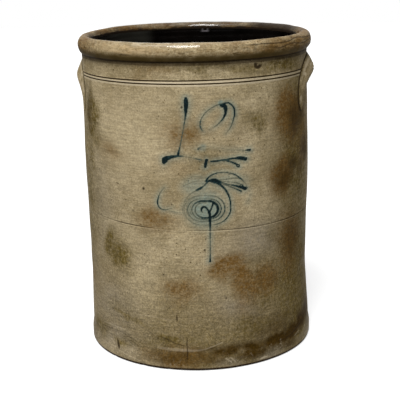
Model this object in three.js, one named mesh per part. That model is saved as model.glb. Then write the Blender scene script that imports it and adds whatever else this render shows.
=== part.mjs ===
// A salt-glazed stoneware storage crock of twelve gallons, thrown in two sections.
// Millimetres, +Z up. The origin is the middle of the underside.
// The decorated front faces -Y, and the two ear handles lie on +X and -X.
import * as THREE from "three";

// Overall sizes
const HEIGHT = 523; // underside to the crest of the rim
const BODY_RADIUS = 187.7; // outside of the wall at its shoulder
const WALL_THICKNESS = 17.5; // at the shoulder
const FLOOR_THICKNESS = 18;
const FLOOR_FILLET = 16; // inside corner between floor and wall

// Outside of the wall
const WAIST_INSET = 2.7; // the wall draws in a little at half height
const WAIST_HEIGHT = 180;
const SHOULDER_DROP = 109; // shoulder below the neck
const NECK_INSET = 2; // in the crease under the rim
const WALL_STEPS = 4; // straight steps for each stretch of the wall's curve

// Foot
const FOOT_RING_HEIGHT = 18; // foot ring above the floor
const FOOT_BEAD_PROUD = 2.5; // bead beyond the crease over it
const FOOT_BEAD_HEIGHT = 16; // the bead is fullest up to here
const FOOT_NECK_INSET = 0.2; // in the crease over the foot bead
const FOOT_ROUND = 4; // bottom edge

// Rolled rim
const RIM_HEIGHT = 29; // crease under the rim to its crest
const RIM_OVERHANG = 6.7; // rim beyond the crease under it
const RIM_BULGE_DROP = 15.3; // crest to the widest point
const RIM_CREST_INSET = 11; // widest point in to the crest
const RIM_INNER_ROUND = 10.5; // height of the inside lip
const RIM_LIP = 1.3; // overhang of the rim over the crease

// Two lines scribed round the shoulder
const SCRIBED_LINES = 2;
const SCRIBED_DROP = 28; // first line below the crease under the rim
const SCRIBED_SPACING = 5;
const SCRIBED_WIDTH = 2;
const SCRIBED_DEPTH = 1;

// Joints between the thrown sections
const LOWER_SECTION_HEIGHT = 198; // foot ring to the seam between the sections
const SEAM_SLOPE = -0.0244; // the seam runs out of level across the pot, as it was thrown
const TONGUE_DEPTH = 4;
const TONGUE_HALF_WIDTH = 5;
const LUTING = 0.3; // slip between joined pieces

// Ear handles
const HANDLE_DROP = 8; // top edge below the crease under the rim
const HANDLE_UPPER = 23; // ridge to the top edge, at the middle
const HANDLE_LOWER = 22; // ridge to the bottom edge, at the middle
const HANDLE_LEG_SPREAD = 68; // middle of the handle to its legs, along the wall
const HANDLE_LEG_DROP = 61; // ridge at the middle down to the end of a leg
const HANDLE_TIP_HALF_WIDTH = 8;
const HANDLE_TAPER = 1.6; // above one, the strap keeps its width well down the arch
const HANDLE_PROJECTION = 12.5; // ridge off the wall, at the middle
const HANDLE_TIP_PROJECTION = 3;
const HANDLE_EDGE = 1.2; // thickness at the edges

// Brown slip poured over the inside
const SLIP_COAT = 0.6;
const SLIP_MARGIN = 1; // bare below the rim's inside lip

const SEGMENTS = 64; // round the pot
const ROUND_STEPS = 4; // for each quarter round
const HANDLE_STEPS = 28; // along a handle
const HANDLE_FACE_STEPS = 8; // across its face
const HANDLE_BACK_STEPS = 4; // across its back

// Places worked out from the sizes above
const innerRadius = BODY_RADIUS - WALL_THICKNESS;
const waistRadius = BODY_RADIUS - WAIST_INSET;
const neckRadius = BODY_RADIUS - NECK_INSET;
const footNeckRadius = BODY_RADIUS - FOOT_NECK_INSET;
const footBeadRadius = footNeckRadius + FOOT_BEAD_PROUD;
const rimRadius = neckRadius + RIM_OVERHANG;
const footTop = FLOOR_THICKNESS + FOOT_RING_HEIGHT;
const seamHeight = footTop + LOWER_SECTION_HEIGHT;
const neckHeight = HEIGHT - RIM_HEIGHT;
const shoulderHeight = neckHeight - SHOULDER_DROP;
const handleRidge = neckHeight - HANDLE_DROP - HANDLE_UPPER;
const floorFillet = Math.min(FLOOR_FILLET, FOOT_RING_HEIGHT - TONGUE_DEPTH / 2);

const clay = { color: 0x9c8b68, roughness: 0.5, metalness: 0 };
const brownSlip = { color: 0x1d130d, roughness: 0.25, metalness: 0 };

const point = (radius, height) => new THREE.Vector2(radius, height);
const smooth = (t) => t * t * (3 - 2 * t);

// Outside radius of the wall at a height, smooth between foot, waist, shoulder and neck.
const stations = [
  point(footNeckRadius, footTop),
  point(waistRadius, WAIST_HEIGHT),
  point(BODY_RADIUS, shoulderHeight),
  point(neckRadius, neckHeight),
];

function wallRadius(height) {
  const next = stations.findIndex((station, i) => i > 0 && station.y >= height);
  const above = stations[next < 0 ? stations.length - 1 : next];
  const below = stations[next < 0 ? stations.length - 2 : next - 1];
  const share = THREE.MathUtils.clamp((height - below.y) / (above.y - below.y), 0, 1);
  return THREE.MathUtils.lerp(below.x, above.x, smooth(share));
}

// Points of the wall's outside between two heights, both ends included.
function wallPoints(from, to) {
  const points = [];
  for (let i = 0; i <= WALL_STEPS; i++) {
    const height = THREE.MathUtils.lerp(from, to, i / WALL_STEPS);
    points.push(point(wallRadius(height), height));
  }
  return points;
}

// Quarter-round or shorter arc of an ellipse, from one angle to another in degrees.
function arc(centre, across, up, from, to) {
  const points = [];
  for (let i = 0; i <= ROUND_STEPS; i++) {
    const angle = THREE.MathUtils.degToRad(THREE.MathUtils.lerp(from, to, i / ROUND_STEPS));
    points.push(point(centre.x + across * Math.cos(angle), centre.y + up * Math.sin(angle)));
  }
  return points;
}

// The wedge-shaped tongue that joins two sections, from the inside of the wall to its outside.
function joint(height, outerRadius) {
  const middle = (innerRadius + outerRadius) / 2;
  return [
    point(innerRadius, height),
    point(middle - TONGUE_HALF_WIDTH, height),
    point(middle, height - TONGUE_DEPTH),
    point(middle + TONGUE_HALF_WIDTH, height),
    point(outerRadius, height),
  ];
}

// A solid turned on the wheel from a profile that runs up the outside and down the inside.
function turned(profile) {
  const onAxis = profile[0].x === 0;
  const outline = onAxis ? profile : [...profile, profile[0].clone()];
  const geometry = new THREE.LatheGeometry(outline, SEGMENTS);
  geometry.rotateX(Math.PI / 2);
  return geometry;
}

// Slopes a section near the seam. The slope fades to nothing at the fixed height.
function slopeTowards(geometry, fixedHeight) {
  const position = geometry.getAttribute("position");
  for (let i = 0; i < position.count; i++) {
    const share = (position.getZ(i) - fixedHeight) / (seamHeight - fixedHeight);
    const rise = SEAM_SLOPE * position.getX(i) * THREE.MathUtils.clamp(share, 0, 1);
    position.setZ(i, position.getZ(i) + rise);
  }
  return geometry;
}

function piece(name, geometry, finish) {
  const mesh = new THREE.Mesh(geometry, new THREE.MeshStandardMaterial(finish));
  mesh.name = name;
  return mesh;
}

// Floor with its foot ring and bead
function basePan() {
  const beadEdge = point(footBeadRadius - FOOT_ROUND, FOOT_ROUND);
  const beadToNeck = [];
  for (let i = 0; i < WALL_STEPS; i++) {
    const share = i / WALL_STEPS;
    const radius = THREE.MathUtils.lerp(footBeadRadius, footNeckRadius, smooth(share));
    beadToNeck.push(point(radius, THREE.MathUtils.lerp(FOOT_BEAD_HEIGHT, footTop, share)));
  }
  const filletCentre = point(innerRadius - floorFillet, FLOOR_THICKNESS + floorFillet);
  return turned([
    point(0, 0),
    ...arc(beadEdge, FOOT_ROUND, FOOT_ROUND, -90, 0),
    ...beadToNeck,
    ...joint(footTop, footNeckRadius).reverse(),
    ...arc(filletCentre, floorFillet, floorFillet, 0, -90),
    point(0, FLOOR_THICKNESS),
  ]);
}

function lowerWall() {
  const bottom = footTop + LUTING;
  const outside = wallPoints(bottom, seamHeight);
  const profile = [
    ...joint(bottom, footNeckRadius),
    ...outside.slice(1, -1),
    ...joint(seamHeight, wallRadius(seamHeight)).reverse(),
  ];
  return slopeTowards(turned(profile), footTop + TONGUE_DEPTH);
}

// Upper wall with its scribed lines
function upperWall() {
  const bottom = seamHeight + LUTING;
  const firstLine = neckHeight - SCRIBED_DROP;
  const lastLine = firstLine - (SCRIBED_LINES - 1) * SCRIBED_SPACING;
  const lines = [];
  for (let height = lastLine; height <= firstLine; height += SCRIBED_SPACING) {
    const below = height - SCRIBED_WIDTH / 2;
    const above = height + SCRIBED_WIDTH / 2;
    lines.push(point(wallRadius(below), below));
    lines.push(point(wallRadius(height) - SCRIBED_DEPTH, height));
    lines.push(point(wallRadius(above), above));
  }
  const outside = wallPoints(bottom, lastLine - SCRIBED_WIDTH / 2);
  const profile = [
    ...joint(bottom, wallRadius(seamHeight)),
    ...outside.slice(1, -1),
    ...lines,
    ...joint(neckHeight, neckRadius).reverse(),
  ];
  return slopeTowards(turned(profile), shoulderHeight);
}

function rolledRim() {
  const bottom = neckHeight + LUTING;
  const lipRadius = neckRadius + RIM_LIP;
  const bulge = HEIGHT - RIM_BULGE_DROP;
  const crestRadius = rimRadius - RIM_CREST_INSET;
  const across = crestRadius - innerRadius;
  // The lower half of the roll is an ellipse that meets the lip at its bottom.
  const lipAngle = THREE.MathUtils.radToDeg(Math.acos((lipRadius - crestRadius) / RIM_CREST_INSET));
  const lowerRise = (bulge - bottom) / Math.sin(THREE.MathUtils.degToRad(lipAngle));
  return turned([
    ...joint(bottom, neckRadius).slice(0, -1),
    ...arc(point(crestRadius, bulge), RIM_CREST_INSET, lowerRise, -lipAngle, 0),
    ...arc(point(crestRadius, bulge), RIM_CREST_INSET, RIM_BULGE_DROP, 0, 90).slice(1),
    ...arc(point(crestRadius, HEIGHT - RIM_INNER_ROUND), across, RIM_INNER_ROUND, 90, 180).slice(1),
  ]);
}

// Brown slip over the floor and up to the rim's inside lip
function slipLining() {
  const top = HEIGHT - RIM_INNER_ROUND - SLIP_MARGIN;
  const centre = point(innerRadius - floorFillet, FLOOR_THICKNESS + floorFillet);
  const outerFillet = floorFillet - LUTING;
  const innerFillet = outerFillet - SLIP_COAT;
  return turned([
    point(0, centre.y - outerFillet),
    ...arc(centre, outerFillet, outerFillet, -90, 0),
    point(centre.x + outerFillet, top),
    point(centre.x + innerFillet, top),
    ...arc(centre, innerFillet, innerFillet, 0, -90),
    point(0, centre.y - innerFillet),
  ]);
}

// An arched strap pressed on to the wall: its ridge runs over an arch and down two legs.
const ridge = new THREE.CubicBezierCurve(
  point(0, handleRidge),
  point(HANDLE_LEG_SPREAD * 0.74, handleRidge),
  point(HANDLE_LEG_SPREAD * 0.97, handleRidge - HANDLE_LEG_DROP * 0.3),
  point(HANDLE_LEG_SPREAD, handleRidge - HANDLE_LEG_DROP),
);

// One point of the strap. Along runs from -1 to 1 over the arch, across from -1 to 1 over the strap.
function strapPoint(along, across, onFace) {
  const t = Math.abs(along);
  const side = Math.sign(along) || 1;
  const middle = ridge.getPoint(t);
  const heading = ridge.getTangent(t);
  const edge = across > 0 ? HANDLE_UPPER : HANDLE_LOWER;
  const width = across * THREE.MathUtils.lerp(edge, HANDLE_TIP_HALF_WIDTH, t ** HANDLE_TAPER);
  const arcLength = side * (middle.x - heading.y * width);
  const height = middle.y + heading.x * width;
  const peak = THREE.MathUtils.lerp(HANDLE_PROJECTION, HANDLE_TIP_PROJECTION, smooth(t));
  const swell = HANDLE_EDGE + (peak - HANDLE_EDGE) * Math.cos((across * Math.PI) / 2);
  const radius = wallRadius(height) + LUTING + (onFace ? swell : 0);
  const angle = arcLength / BODY_RADIUS;
  return new THREE.Vector3(radius * Math.cos(angle), radius * Math.sin(angle), height);
}

function earHandle() {
  const positions = [];
  const index = [];
  const ring = HANDLE_FACE_STEPS + HANDLE_BACK_STEPS + 2;
  for (let i = 0; i <= HANDLE_STEPS; i++) {
    const along = -1 + (2 * i) / HANDLE_STEPS;
    for (let j = 0; j <= HANDLE_FACE_STEPS; j++) {
      positions.push(...strapPoint(along, -1 + (2 * j) / HANDLE_FACE_STEPS, true));
    }
    for (let j = 0; j <= HANDLE_BACK_STEPS; j++) {
      positions.push(...strapPoint(along, 1 - (2 * j) / HANDLE_BACK_STEPS, false));
    }
  }
  for (let i = 0; i < HANDLE_STEPS; i++) {
    for (let j = 0; j < ring; j++) {
      const a = i * ring + j;
      const b = i * ring + ((j + 1) % ring);
      index.push(a, a + ring, b, b, a + ring, b + ring);
    }
  }
  // Each tip is closed by a fan round its middle.
  for (const end of [0, HANDLE_STEPS]) {
    const hub = positions.length / 3;
    const along = end === 0 ? -1 : 1;
    const outer = strapPoint(along, 0, true);
    positions.push(...outer.add(strapPoint(along, 0, false)).multiplyScalar(0.5));
    for (let j = 0; j < ring; j++) {
      const a = end * ring + j;
      const b = end * ring + ((j + 1) % ring);
      index.push(...(end === 0 ? [hub, a, b] : [hub, b, a]));
    }
  }
  const geometry = new THREE.BufferGeometry();
  geometry.setAttribute("position", new THREE.Float32BufferAttribute(positions, 3));
  geometry.setIndex(index);
  geometry.computeVertexNormals();
  return geometry;
}

const crock = new THREE.Group();
crock.add(piece("base_pan", basePan(), clay));
crock.add(piece("lower_wall", lowerWall(), clay));
crock.add(piece("upper_wall", upperWall(), clay));
crock.add(piece("rolled_rim", rolledRim(), clay));
crock.add(piece("slip_lining", slipLining(), brownSlip));
for (const [name, turn] of [
  ["right_handle", 0],
  ["left_handle", Math.PI],
]) {
  const handle = piece(name, earHandle(), clay);
  handle.rotation.z = turn;
  crock.add(handle);
}

export default crock;
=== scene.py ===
from math import cos, pi, radians, sin

import bpy
import numpy as np
from mathutils import Matrix, Vector


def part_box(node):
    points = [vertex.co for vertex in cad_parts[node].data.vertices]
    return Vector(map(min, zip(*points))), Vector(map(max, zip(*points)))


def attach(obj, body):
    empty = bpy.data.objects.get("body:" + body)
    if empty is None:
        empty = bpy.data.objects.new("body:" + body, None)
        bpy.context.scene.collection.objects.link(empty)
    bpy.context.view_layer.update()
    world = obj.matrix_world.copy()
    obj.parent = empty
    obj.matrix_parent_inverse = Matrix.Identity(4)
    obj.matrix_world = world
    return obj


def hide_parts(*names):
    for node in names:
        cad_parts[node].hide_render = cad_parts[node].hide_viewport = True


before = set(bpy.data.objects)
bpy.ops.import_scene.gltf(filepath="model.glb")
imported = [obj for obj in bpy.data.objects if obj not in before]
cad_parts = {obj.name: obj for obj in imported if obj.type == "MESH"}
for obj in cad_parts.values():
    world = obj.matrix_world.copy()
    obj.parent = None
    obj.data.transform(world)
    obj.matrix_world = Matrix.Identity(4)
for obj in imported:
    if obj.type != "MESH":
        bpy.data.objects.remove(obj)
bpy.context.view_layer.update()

# Sizes of the crock in millimetres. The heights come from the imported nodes.
MM = 0.001
FOOT_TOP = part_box("base_pan")[1].z / MM
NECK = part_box("upper_wall")[1].z / MM
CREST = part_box("rolled_rim")[1].z / MM
RIM_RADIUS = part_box("rolled_rim")[1].x / MM
HANDLE_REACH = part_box("right_handle")[1].x / MM
LINING_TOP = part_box("slip_lining")[1].z / MM
BODY_RADIUS = 187.7
INNER_RADIUS = 170.2
WAIST_RADIUS = BODY_RADIUS - 2.7
WAIST = 180.0
SHOULDER = NECK - 109.0
NECK_RADIUS = BODY_RADIUS - 2.0
FOOT_NECK_RADIUS = BODY_RADIUS - 0.2
FOOT_BEAD_RADIUS = FOOT_NECK_RADIUS + 2.5
FOOT_BEAD_TOP = 16.0
FOOT_ROUND = 4.0
FLOOR = 18.0
FLOOR_FILLET = 16.0
FLOOR_HOLE = 20.0  # radius within which the floor is closed by a fan of triangles
SEAM = FOOT_TOP + 198.0
SEAM_SLOPE = -0.0244
SCRIBED = (NECK - 33.0, NECK - 28.0)
SLIP_COAT = 0.6
ARC = 187.0  # radius at which arcs along the wall are counted
HALF_ROUND = pi * ARC

# Camera, fitted to the rim, the foot and the sides in the photograph. Lengths are in millimetres.
PICTURE = 400
FOCAL_PIXELS = 1012.14
CAMERA_AROUND = radians(5.5)  # round from the front towards the right handle
CAMERA_DISTANCE = 1689.5
CAMERA_HEIGHT = 679.4
CAMERA_PITCH = radians(14.777)
CAMERA_ROLL = radians(-1.333)
CAMERA_YAW = radians(0.132)

# Shaping helpers


def smooth(t):
    t = np.clip(t, 0.0, 1.0)
    return t * t * (3.0 - 2.0 * t)


def lerp(a, b, t):
    return a + (b - a) * t


def bell(value, middle, width):
    """1 at the middle, and falling away from it over about that width."""
    return np.exp(-(((value - middle) / width) ** 2))


def between(value, start, rise, end, fall):
    """1 from start to end, reached over a rise after the start and left over a fall before the end."""
    return smooth((value - start) / rise) * smooth((end - value) / fall)


def groove(distance, half_width):
    """1 in the middle of a groove, falling to 0 at its edges."""
    return np.clip(1.0 - (distance / half_width) ** 2, 0.0, 1.0)


def strongest(*layers):
    """The highest of several layers at each place."""
    return np.maximum.reduce(np.broadcast_arrays(*layers))


def swell(points, length, seed, waves=14):
    """A smooth random field of about -1 to 1 over points, made of seeded waves of about that length."""
    rng = np.random.default_rng(seed)
    total = np.zeros(points.shape[:-1])
    for _ in range(waves):
        heading = rng.normal(size=3)
        heading /= np.linalg.norm(heading)
        pace = 2 * pi / (length * rng.uniform(0.7, 1.5))
        total += np.sin(points @ heading * pace + rng.uniform(0, 2 * pi))
    return total / np.sqrt(waves)


def swells(points, layers):
    """Several swells together, each given by its height, wavelength and seed."""
    return sum(high * swell(points, length, seed) for high, length, seed in layers)


def place(around, radius, height):
    """Points in millimetres. Around is the angle from the front, towards the right handle."""
    around, radius, height = np.broadcast_arrays(around, radius, height)
    return np.stack([radius * np.sin(around), -radius * np.cos(around), height], axis=-1)


# Outside of the wall. Depths, lips and bulges are in millimetres.
WALL_SWELLS = ((0.45, 170, 1), (0.14, 55, 2))  # height, wavelength and seed
WALL_RINGS = ((0.05, 12.5, 2.6), (0.035, 6.9, 3.9))  # height, spacing, and how far they wander
LINE_DEPTH, LINE_LIP, LINE_WANDER = 0.95, 0.28, 0.35
SEAM_DEPTH, SEAM_LIP = 0.75, 0.22
SEAM_LIP_DROP = 1.9  # how far the lip lies under the seam
LEFT_BULGE, RIGHT_BELLY, RIGHT_WAIST, FOOT_BULGE = 1.4, 1.8, 1.6, 2.3  # how far out of round
FOOT_SMEAR, FOOT_LUMP, FOOT_HOLLOW = 0.45, 1.3, 1.0


def wall_radius(height):
    stations = (
        (FOOT_TOP, FOOT_NECK_RADIUS),
        (WAIST, WAIST_RADIUS),
        (SHOULDER, BODY_RADIUS),
        (NECK, NECK_RADIUS),
    )
    radius = np.full(np.shape(height), FOOT_NECK_RADIUS)
    for (low, start), (high, end) in zip(stations, stations[1:]):
        inside = lerp(start, end, smooth((height - low) / (high - low)))
        radius = np.where(np.asarray(height) >= low, inside, radius)
    return radius


def seam_height(around):
    return SEAM + SEAM_SLOPE * ARC * np.sin(around)


def seam_shows(arc):
    """The seam is smeared over left of the stem and fades towards the left handle."""
    smeared = 0.8 * bell(arc, -8.0, 36.0)
    return (1.0 - smeared) * lerp(0.4, 1.0, smooth((arc + 150.0) / 40.0))


def from_line(line, around, height):
    """Height over a scribed line, which wavers a little."""
    return height - line - LINE_WANDER * np.sin(2 * around + line)


def wall_relief(around, height):
    """Millimetres that the hand-thrown wall stands out from its even curve."""
    points = place(around, ARC, height)
    drift = swell(points, 260, 3)
    relief = swells(points, WALL_SWELLS)
    uneven = np.clip(0.5 + 0.6 * swell(points, 120, 5), 0.0, 1.2)
    for high, spacing, wander in WALL_RINGS:
        relief += high * uneven * np.sin(2 * pi * height / spacing + wander * drift)
    for line in SCRIBED:
        away = from_line(line, around, height)
        relief -= LINE_DEPTH * groove(away, 1.0)
        relief += LINE_LIP * groove(np.abs(away) - 1.7, 0.8)
    wear = 0.65 + 0.35 * swell(points, 90, 4)
    away = height - seam_height(around)
    shows = seam_shows(around * ARC)
    relief -= SEAM_DEPTH * shows * np.clip(wear, 0.1, 1.0) * groove(away, 1.0)
    relief += SEAM_LIP * shows * np.clip(wear, 0.0, 1.0) * groove(away + SEAM_LIP_DROP, 1.0)
    return relief + foot_swell(around, height)


def sway(around, height):
    """Millimetres that the pot stands out of round, at both sides and at the right of the foot."""
    arc = around * ARC
    left = LEFT_BULGE * between(height, 120.0, 35.0, 372.0, 40.0)
    right = RIGHT_BELLY * bell(height, 280.0, 68.0) - RIGHT_WAIST * bell(height, 128.0, 32.0)
    foot = FOOT_BULGE * smooth((95.0 - height) / 60.0)
    out = left * bell(arc, -256.0, 75.0) + right * bell(arc, 292.0, 75.0)
    return out + foot * between(arc, 130.0, 110.0, 420.0, 90.0)


def thrown_radius(around, height):
    """The outside of the wall as it was thrown."""
    return wall_radius(height) + sway(around, height) + wall_relief(around, height)


def foot_swell(around, height):
    """A low smear of clay over the front of the foot, and a lump with a hollow over it at the right."""
    arc = around * ARC
    front = between(arc, -52.0, 24.0, 56.0, 24.0)
    smear = FOOT_SMEAR * front * groove(height - FOOT_TOP - 1.0 - 2.2 * np.sin(arc / 24.0), 4.5)
    lump = FOOT_LUMP * bell(arc, 246.0, 22.0) * bell(height, 27.0, 9.0)
    hollow = FOOT_HOLLOW * bell(arc, 240.0, 34.0) * bell(height, 50.0, 12.0)
    return smear + lump - hollow


# Ear handles: arched straps pressed on to the wall
HANDLE_RIDGE = NECK - 31.0
HANDLE_UPPER = 23.0
HANDLE_LOWER = 22.0
HANDLE_SPREAD = 68.0
HANDLE_DROP = 61.0
HANDLE_TIP_HALF = 8.0
HANDLE_TIP_PROUD = 3.0
HANDLE_SUNK = 0.6  # how far its back goes into the wall
HANDLE_NEAR = (90.0, 380.0, 492.0)  # half arc round its middle, and heights, within which its dark edge lies
EDGE_DARKENING, EDGE_DARKENING_FADE = 3.4, 2.4  # how far soiling and painted contact shade reach from its edge, and over how much they fade
LEFT_EDGE_FADES = 425.0  # height below which no dark edge shows along the left handle


def ridge_at(t):
    """The ridge of a handle over half its arch, with its direction: arc along the wall and height."""
    a = np.array([0.0, HANDLE_RIDGE])
    b = np.array([HANDLE_SPREAD * 0.74, HANDLE_RIDGE])
    c = np.array([HANDLE_SPREAD * 0.97, HANDLE_RIDGE - HANDLE_DROP * 0.3])
    d = np.array([HANDLE_SPREAD, HANDLE_RIDGE - HANDLE_DROP])
    t = t[..., None]
    spot = (1 - t) ** 3 * a + 3 * (1 - t) ** 2 * t * b + 3 * (1 - t) * t**2 * c + t**3 * d
    heading = (1 - t) ** 2 * (b - a) + 2 * (1 - t) * t * (c - b) + t**2 * (d - c)
    return spot, heading / np.linalg.norm(heading, axis=-1, keepdims=True)


def handle_spot(along, across):
    """Arc from the middle of the handle and height, for -1 to 1 along the arch and across the strap."""
    t = np.abs(along)
    middle, heading = ridge_at(t)
    width = across * lerp(np.where(across > 0, HANDLE_UPPER, HANDLE_LOWER), HANDLE_TIP_HALF, t**1.6)
    width = width * np.sqrt(1.0 - 0.94 * np.clip((t - 0.86) / 0.14, 0.0, 1.0) ** 2)
    arc = np.where(along < 0, -1.0, 1.0) * (middle[..., 0] - heading[..., 1] * width)
    return arc, middle[..., 1] + heading[..., 0] * width


def distances(arc, height, near, spot_arc, spot_height):
    """The near places in parts of some thousands, with how far each lies from every spot."""
    chosen = np.flatnonzero(near)
    for part in np.array_split(chosen, max(1, len(chosen) // 2000)):
        along = arc.flat[part][:, None] - spot_arc
        yield part, np.hypot(along, height.flat[part][:, None] - spot_height)


def handle_edge(arc, height, side):
    """Soiling and painted contact shade on the wall along the edge of a handle, 0 to 1."""
    along = np.linspace(-1, 1, 161)
    across = np.linspace(-1, 1, 13)
    runs = [handle_spot(along, np.full(along.shape, edge)) for edge in (-1.0, 1.0)]
    runs += [handle_spot(np.full(across.shape, end), across) for end in (-1.0, 1.0)]
    middle = side * pi / 2 * ARC
    edge_arc = np.concatenate([run[0] for run in runs]) + middle
    edge_height = np.concatenate([run[1] for run in runs])
    reach, low, high = HANDLE_NEAR
    near = (np.abs(arc - middle) < reach) & (height > low) & (height < high)
    darkening = np.zeros(arc.shape)
    for part, away in distances(arc, height, near, edge_arc, edge_height):
        darkening.flat[part] = smooth((EDGE_DARKENING - away.min(1)) / EDGE_DARKENING_FADE)
    return darkening if side > 0 else darkening * smooth((height - LEFT_EDGE_FADES) / 14.0)


# Trailed cobalt slip on the front. A stroke is a run of points: arc along the wall from the front,
# height, half width, all in millimetres, and how dark the slip is.
STROKES = {
    "one": [
        (3.6, 440.5, 2.4, 0.95), (3.8, 434, 3.7, 1), (3.2, 423, 2.7, 1), (2.0, 411, 1.3, 0.8),
        (-1.5, 393, 1.1, 0.65), (-7, 368, 1.1, 0.65), (-10.2, 355.5, 1.9, 1),
    ],
    "one_foot": [
        (-33, 346.6, 3.4, 1), (-28.5, 348.5, 3.8, 0.95), (-20, 351, 2.6, 0.85), (-10, 352.5, 1.8, 0.85),
        (0, 352, 1.5, 0.35), (12, 349.5, 1.2, 0.4), (23, 346.3, 1.1, 0.75), (28, 346, 0.9, 0.5),
    ],
    "one_foot_lobe": [(-33, 342.6, 3.2, 1), (-29.5, 345.5, 3.2, 1)],
    "dab": [(32.6, 345.5, 2.6, 1), (30.4, 335.5, 2.3, 1)],
    "tail": [
        (39, 343, 1.2, 0.9), (46, 343.4, 1.6, 0.95), (61, 344.6, 1.4, 0.75), (78, 345.6, 1.9, 0.9),
        (88, 344.6, 3.0, 1), (95, 342.8, 2.7, 1),
    ],
    "tail_branch": [
        (54, 343.8, 1.0, 0.6), (66, 341.8, 1.3, 0.75), (75, 338.4, 1.6, 0.9), (80.6, 335.4, 1.6, 0.9),
    ],
    "tail_ring": [
        (80.6, 335.4, 1.2, 0.95), (83.4, 335, 1.1, 0.95), (84.3, 332.6, 1.1, 0.95), (82.2, 331.2, 1.1, 0.95),
        (80.2, 333, 1.1, 0.95), (80.6, 335.4, 1.2, 0.95),
    ],
    "two_loop": [
        (28, 390.5, 0.9, 0.6), (24.8, 396, 1.1, 0.8), (24, 402, 1.1, 0.75), (27, 411, 1.0, 0.6),
        (35, 420.5, 1.0, 0.6), (45, 427, 1.0, 0.55), (54, 430, 1.3, 0.6), (61, 430, 2.4, 0.9),
    ],
    "two_knot": [
        (57, 428.5, 2.6, 0.9), (62.5, 426, 3.4, 1), (63.2, 417, 2.2, 1), (60, 409.5, 1.6, 0.85),
        (54, 402.5, 1.2, 0.6), (46, 396.5, 1.0, 0.45), (37, 392.8, 0.9, 0.3),
    ],
    "two_back": [
        (63, 431.5, 1.5, 0.7), (70, 430.6, 1.4, 0.9), (76, 424, 1.5, 0.95), (77.5, 416, 1.5, 0.95),
        (75.6, 406, 1.2, 0.75), (71, 394.5, 1.0, 0.55), (64, 385.5, 0.9, 0.3),
    ],
    "two_foot": [
        (20.4, 363, 1.9, 0.65), (25, 366, 1.5, 0.4), (33, 367, 1.2, 0.25), (50, 363.6, 1.1, 0.25),
        (72, 359.2, 1.1, 0.35), (92, 356.4, 1.1, 0.55), (99, 356, 1.5, 0.95), (102.3, 355.8, 1.7, 1),
    ],
    "top_arc": [
        (31, 312.4, 1.9, 0.85), (36, 319, 1.3, 0.8), (46, 324, 1.1, 0.75), (60, 325, 1.0, 0.7),
        (75, 320.5, 1.1, 0.8), (86, 313, 1.2, 0.85), (94, 304, 0.9, 0.5), (100, 294, 0.8, 0.4),
        (102.5, 285, 0.8, 0.35), (98, 273.5, 0.9, 0.4),
    ],
    "knot": [(35, 312.5, 1.8, 0.85), (43, 313.4, 3.2, 1), (49.5, 311.4, 2.6, 0.95), (57, 307.5, 1.3, 0.6)],
    "leaf": [(34, 311.5, 1.5, 0.75), (27.5, 305, 1.3, 0.6), (22.5, 301.5, 2.1, 0.8), (16, 298.5, 1.6, 0.65)],
    "petal_low": [(52, 309, 1.0, 0.55), (64, 303.5, 1.1, 0.6), (76, 298, 1.2, 0.7), (87, 292.5, 1.5, 0.85)],
    "petal_mid": [
        (50, 310.5, 1.2, 0.65), (62, 306.4, 1.2, 0.65), (76, 302.4, 1.5, 0.8), (87, 298.6, 2.4, 1),
        (94, 296, 3.1, 1),
    ],
    "petal_fan": [
        (49, 311.6, 1.0, 0.55), (64, 309.4, 1.0, 0.5), (79, 306.4, 1.1, 0.55), (90, 301.5, 1.3, 0.75),
    ],
    "petal_top": [
        (46, 313.5, 1.0, 0.6), (60, 313.6, 1.0, 0.5), (76, 314.4, 1.0, 0.55), (86, 312.4, 1.2, 0.7),
    ],
    "feather_top": [(34, 317, 0.8, 0.5), (22, 319.6, 0.8, 0.5), (8, 318.6, 0.8, 0.45), (-4, 310, 0.8, 0.3)],
    "feather_low": [(30, 313, 0.8, 0.5), (12, 312, 0.8, 0.45), (-8, 303, 0.8, 0.3)],
    "feather_fall": [(16, 298.5, 1.2, 0.5), (6, 292, 0.9, 0.45), (-2, 282, 0.8, 0.4), (-5, 268, 0.8, 0.35)],
    "side_curl": [
        (-32.7, 303, 0.9, 0.35), (-40.5, 294, 1.0, 0.55), (-45.4, 281, 1.3, 0.85), (-44.5, 272.5, 1.1, 0.8),
        (-38.5, 267, 1.0, 0.7), (-30, 267.5, 0.9, 0.55), (-22, 270.5, 0.8, 0.35),
    ],
    "side_curl_tail": [(-27, 265.5, 0.8, 0.45), (-14, 263, 0.8, 0.45), (-2, 263, 0.8, 0.35)],
    "heart": [
        (25, 263, 1.0, 0.6), (23, 267, 1.6, 0.9), (25.5, 271.5, 1.9, 1), (30, 271, 1.6, 0.95),
        (33.5, 266, 1.7, 1), (35.5, 260, 1.8, 1),
    ],
    "heart_twig": [(41.8, 277.5, 1.9, 0.9), (39.5, 271, 1.4, 0.85), (36, 263, 1.5, 0.9)],
    "stem": [
        (35.9, 261, 2.0, 1), (36.2, 250, 1.9, 1), (36.2, 235, 1.4, 0.8), (36, 215, 1.1, 0.65),
        (35.6, 197, 1.1, 0.65), (35.4, 188, 1.2, 0.85), (35.3, 183, 2.0, 1),
    ],
}
# The spiral winds in clockwise from the top: its radius, half width and darkness at each quarter turn
SPIRAL_MIDDLE = (30.5, 267.5)
SPIRAL_START = 76.0  # degrees
SPIRAL_QUARTERS = [
    (45, 2.0, 0.9), (39, 1.3, 0.85), (25, 1.2, 0.45), (34, 1.1, 0.4), (22.5, 1.0, 0.48), (29.5, 1.2, 0.72),
    (19, 1.2, 0.45), (28.5, 1.1, 0.6), (17, 1.1, 0.5), (23.5, 1.2, 0.75), (16, 1.1, 0.55), (22, 1.2, 0.6),
    (13.5, 1.6, 0.9), (18.5, 2.2, 1), (13.5, 1.6, 0.75), (17, 1.2, 0.6), (11, 1.1, 0.45),
]
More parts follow.
